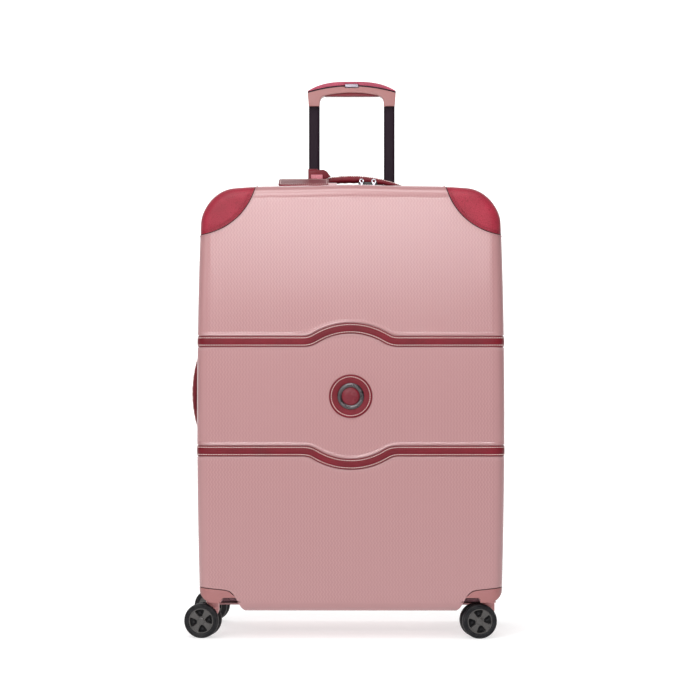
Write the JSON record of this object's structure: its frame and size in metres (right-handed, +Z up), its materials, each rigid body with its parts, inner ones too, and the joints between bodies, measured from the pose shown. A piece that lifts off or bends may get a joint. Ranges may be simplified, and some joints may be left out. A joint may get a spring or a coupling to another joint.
{
  "type": "suitcase",
  "caption": "Large hard-shell spinner suitcase: hinged pink half shells, leather straps, corner caps and handles, twin-wheel swivel castors and a telescopic pull handle.",
  "frame": {"origin": "on the floor, under the middle of the whole object's bounding box", "axes": "+Z up; the case's front panel with the medallion faces -Y and the telescopic handle is on the +Y side; +X is towards the lid's hinge, on the right when seen from the front"},
  "size_m": [0.5288, 0.3148, 0.9409],
  "materials": {
    "shell_pink": "dusty pink polycarbonate with a fine woven texture",
    "leather": "dark red grained leather with pale stitching",
    "tube_plum": "anodised dark plum aluminium",
    "tyre": "black rubber tyre on a dark grey hub",
    "chrome": "polished metal",
    "black_plastic": "black moulded plastic",
    "zip_cloth": "woven pink zip tape",
    "lining": "woven polyester lining"
  },
  "bodies": {
    "case": {"rear_shell": "shell_pink", "rear_zip_tape": "zip_cloth", "hinge_gusset": "zip_cloth", "rear_upper_strap": "leather", "rear_lower_strap": "leather", "rear_left_corner_cap": "leather", "rear_right_corner_cap": "leather", "rear_left_wheel_housing": "shell_pink", "rear_right_wheel_housing": "shell_pink", "rear_lining": "lining", "packing_strap_a": "lining", "packing_strap_b": "lining", "trolley_bezel": "shell_pink", "trolley_foot": "black_plastic", "left_outer_tube": "tube_plum", "right_outer_tube": "tube_plum", "top_handle_base": "leather", "side_handle_base": "leather", "lock_housing": "black_plastic"},
    "lid": {"front_shell": "shell_pink", "front_zip_tape": "zip_cloth", "front_upper_strap": "leather", "front_lower_strap": "leather", "front_left_corner_cap": "leather", "front_right_corner_cap": "leather", "front_left_wheel_housing": "shell_pink", "front_right_wheel_housing": "shell_pink", "front_lining": "lining", "divider_panel": "lining", "medallion_disc": "leather", "medallion_ring": "chrome"},
    "front_left_castor": {"front_left_fork": "shell_pink"},
    "front_left_outer_wheel": {"front_left_outer_wheel": "tyre"},
    "front_left_inner_wheel": {"front_left_inner_wheel": "tyre"},
    "front_right_castor": {"front_right_fork": "shell_pink"},
    "front_right_outer_wheel": {"front_right_outer_wheel": "tyre"},
    "front_right_inner_wheel": {"front_right_inner_wheel": "tyre"},
    "rear_left_castor": {"rear_left_fork": "shell_pink"},
    "rear_left_outer_wheel": {"rear_left_outer_wheel": "tyre"},
    "rear_left_inner_wheel": {"rear_left_inner_wheel": "tyre"},
    "rear_right_castor": {"rear_right_fork": "shell_pink"},
    "rear_right_outer_wheel": {"rear_right_outer_wheel": "tyre"},
    "rear_right_inner_wheel": {"rear_right_inner_wheel": "tyre"},
    "trolley": {"left_inner_tube": "tube_plum", "right_inner_tube": "tube_plum", "grip_frame": "shell_pink", "grip_cover": "leather"},
    "release_button": {"release_button": "chrome"},
    "top_handle": {"top_handle": "leather", "tag_belt": "leather"},
    "side_handle": {"side_handle": "leather"},
    "luggage_tag": {"luggage_tag": "leather"},
    "left_zip_slider": {"left_zip_slider": "chrome"},
    "left_zip_pull": {"left_zip_pull": "chrome"},
    "right_zip_slider": {"right_zip_slider": "chrome"},
    "right_zip_pull": {"right_zip_pull": "chrome"},
    "lock_dial_1": {"lock_dial_1": "black_plastic"},
    "lock_dial_2": {"lock_dial_2": "black_plastic"},
    "lock_dial_3": {"lock_dial_3": "black_plastic"},
    "lock_button": {"lock_button": "chrome"}
  },
  "joints": [
    {"name": "lid_hinge", "type": "hinge", "parent": "case", "child": "lid", "pos_m": [0.272, 0, 0.38], "axis": [0, 0, 1], "range_deg": [0, 180]},
    {"name": "front_left_swivel", "type": "hinge", "parent": "lid", "child": "front_left_castor", "pos_m": [-0.2168, -0.12, 0.0577], "axis": [0, 0, 1], "continuous": true},
    {"name": "front_left_outer_wheel_spin", "type": "hinge", "parent": "front_left_castor", "child": "front_left_outer_wheel", "pos_m": [-0.23557, -0.12998, 0.0285], "axis": [0.1392, 0.9903, 0], "continuous": true},
    {"name": "front_left_inner_wheel_spin", "type": "hinge", "parent": "front_left_castor", "child": "front_left_inner_wheel", "pos_m": [-0.23209, -0.10523, 0.0285], "axis": [0.1392, 0.9903, 0], "continuous": true},
    {"name": "front_right_swivel", "type": "hinge", "parent": "lid", "child": "front_right_castor", "pos_m": [0.2368, -0.12, 0.0577], "axis": [0, 0, 1], "continuous": true},
    {"name": "front_right_outer_wheel_spin", "type": "hinge", "parent": "front_right_castor", "child": "front_right_outer_wheel", "pos_m": [0.22151, -0.13477, 0.0285], "axis": [-0.1392, 0.9903, 0], "continuous": true},
    {"name": "front_right_inner_wheel_spin", "type": "hinge", "parent": "front_right_castor", "child": "front_right_inner_wheel", "pos_m": [0.21803, -0.11002, 0.0285], "axis": [-0.1392, 0.9903, 0], "continuous": true},
    {"name": "rear_left_swivel", "type": "hinge", "parent": "case", "child": "rear_left_castor", "pos_m": [-0.2168, 0.12, 0.0577], "axis": [0, 0, 1], "continuous": true},
    {"name": "rear_left_outer_wheel_spin", "type": "hinge", "parent": "rear_left_castor", "child": "rear_left_outer_wheel", "pos_m": [-0.23557, 0.11002, 0.0285], "axis": [0.1392, 0.9903, 0], "continuous": true},
    {"name": "rear_left_inner_wheel_spin", "type": "hinge", "parent": "rear_left_castor", "child": "rear_left_inner_wheel", "pos_m": [-0.23209, 0.13477, 0.0285], "axis": [0.1392, 0.9903, 0], "continuous": true},
    {"name": "rear_right_swivel", "type": "hinge", "parent": "case", "child": "rear_right_castor", "pos_m": [0.2368, 0.12, 0.0577], "axis": [0, 0, 1], "continuous": true},
    {"name": "rear_right_outer_wheel_spin", "type": "hinge", "parent": "rear_right_castor", "child": "rear_right_outer_wheel", "pos_m": [0.2493, 0.1028, 0.0285], "axis": [1, 0, 0], "continuous": true},
    {"name": "rear_right_inner_wheel_spin", "type": "hinge", "parent": "rear_right_castor", "child": "rear_right_inner_wheel", "pos_m": [0.2243, 0.1028, 0.0285], "axis": [1, 0, 0], "continuous": true},
    {"name": "trolley_slide", "type": "slide", "parent": "case", "child": "trolley", "axis": [0, 0, 1], "range_m": [-0.175, 0.15]},
    {"name": "release_button_press", "type": "slide", "parent": "trolley", "child": "release_button", "axis": [0, 1, 0], "range_m": [0, 0.002], "stiffness_N_per_m": 400, "springref_m": -0.003},
    {"name": "top_handle_lift", "type": "slide", "parent": "case", "child": "top_handle", "axis": [0, 0, 1], "range_m": [0, 0.008], "stiffness_N_per_m": 150, "springref_m": -0.002},
    {"name": "side_handle_pull", "type": "slide", "parent": "case", "child": "side_handle", "axis": [-1, 0, 0], "range_m": [0, 0.008], "stiffness_N_per_m": 150, "springref_m": -0.002},
    {"name": "tag_swing", "type": "hinge", "parent": "top_handle", "child": "luggage_tag", "pos_m": [-0.056, 0.004, 0.764], "axis": [1, 0, 0], "range_deg": [-100, 0]},
    {"name": "left_slider_run", "type": "slide", "parent": "case", "child": "left_zip_slider", "axis": [1, 0, 0], "range_m": [-0.045, 0]},
    {"name": "left_pull_swing", "type": "hinge", "parent": "left_zip_slider", "child": "left_zip_pull", "pos_m": [0.0273, 0, 0.7493], "axis": [1, 0, 0], "range_deg": [0, 88]},
    {"name": "right_slider_run", "type": "slide", "parent": "case", "child": "right_zip_slider", "axis": [1, 0, 0], "range_m": [0, 0.05]},
    {"name": "right_pull_swing", "type": "hinge", "parent": "right_zip_slider", "child": "right_zip_pull", "pos_m": [0.0482, 0, 0.7493], "axis": [1, 0, 0], "range_deg": [0, 88]},
    {"name": "lock_dial_1_turn", "type": "hinge", "parent": "case", "child": "lock_dial_1", "pos_m": [0.0262, 0.0195, 0.7514], "axis": [1, 0, 0], "continuous": true},
    {"name": "lock_dial_2_turn", "type": "hinge", "parent": "case", "child": "lock_dial_2", "pos_m": [0.0342, 0.0195, 0.7514], "axis": [1, 0, 0], "continuous": true},
    {"name": "lock_dial_3_turn", "type": "hinge", "parent": "case", "child": "lock_dial_3", "pos_m": [0.0422, 0.0195, 0.7514], "axis": [1, 0, 0], "continuous": true},
    {"name": "lock_button_slide", "type": "slide", "parent": "case", "child": "lock_button", "axis": [1, 0, 0], "range_m": [0, 0.004], "stiffness_N_per_m": 200, "springref_m": -0.002}
  ]
}
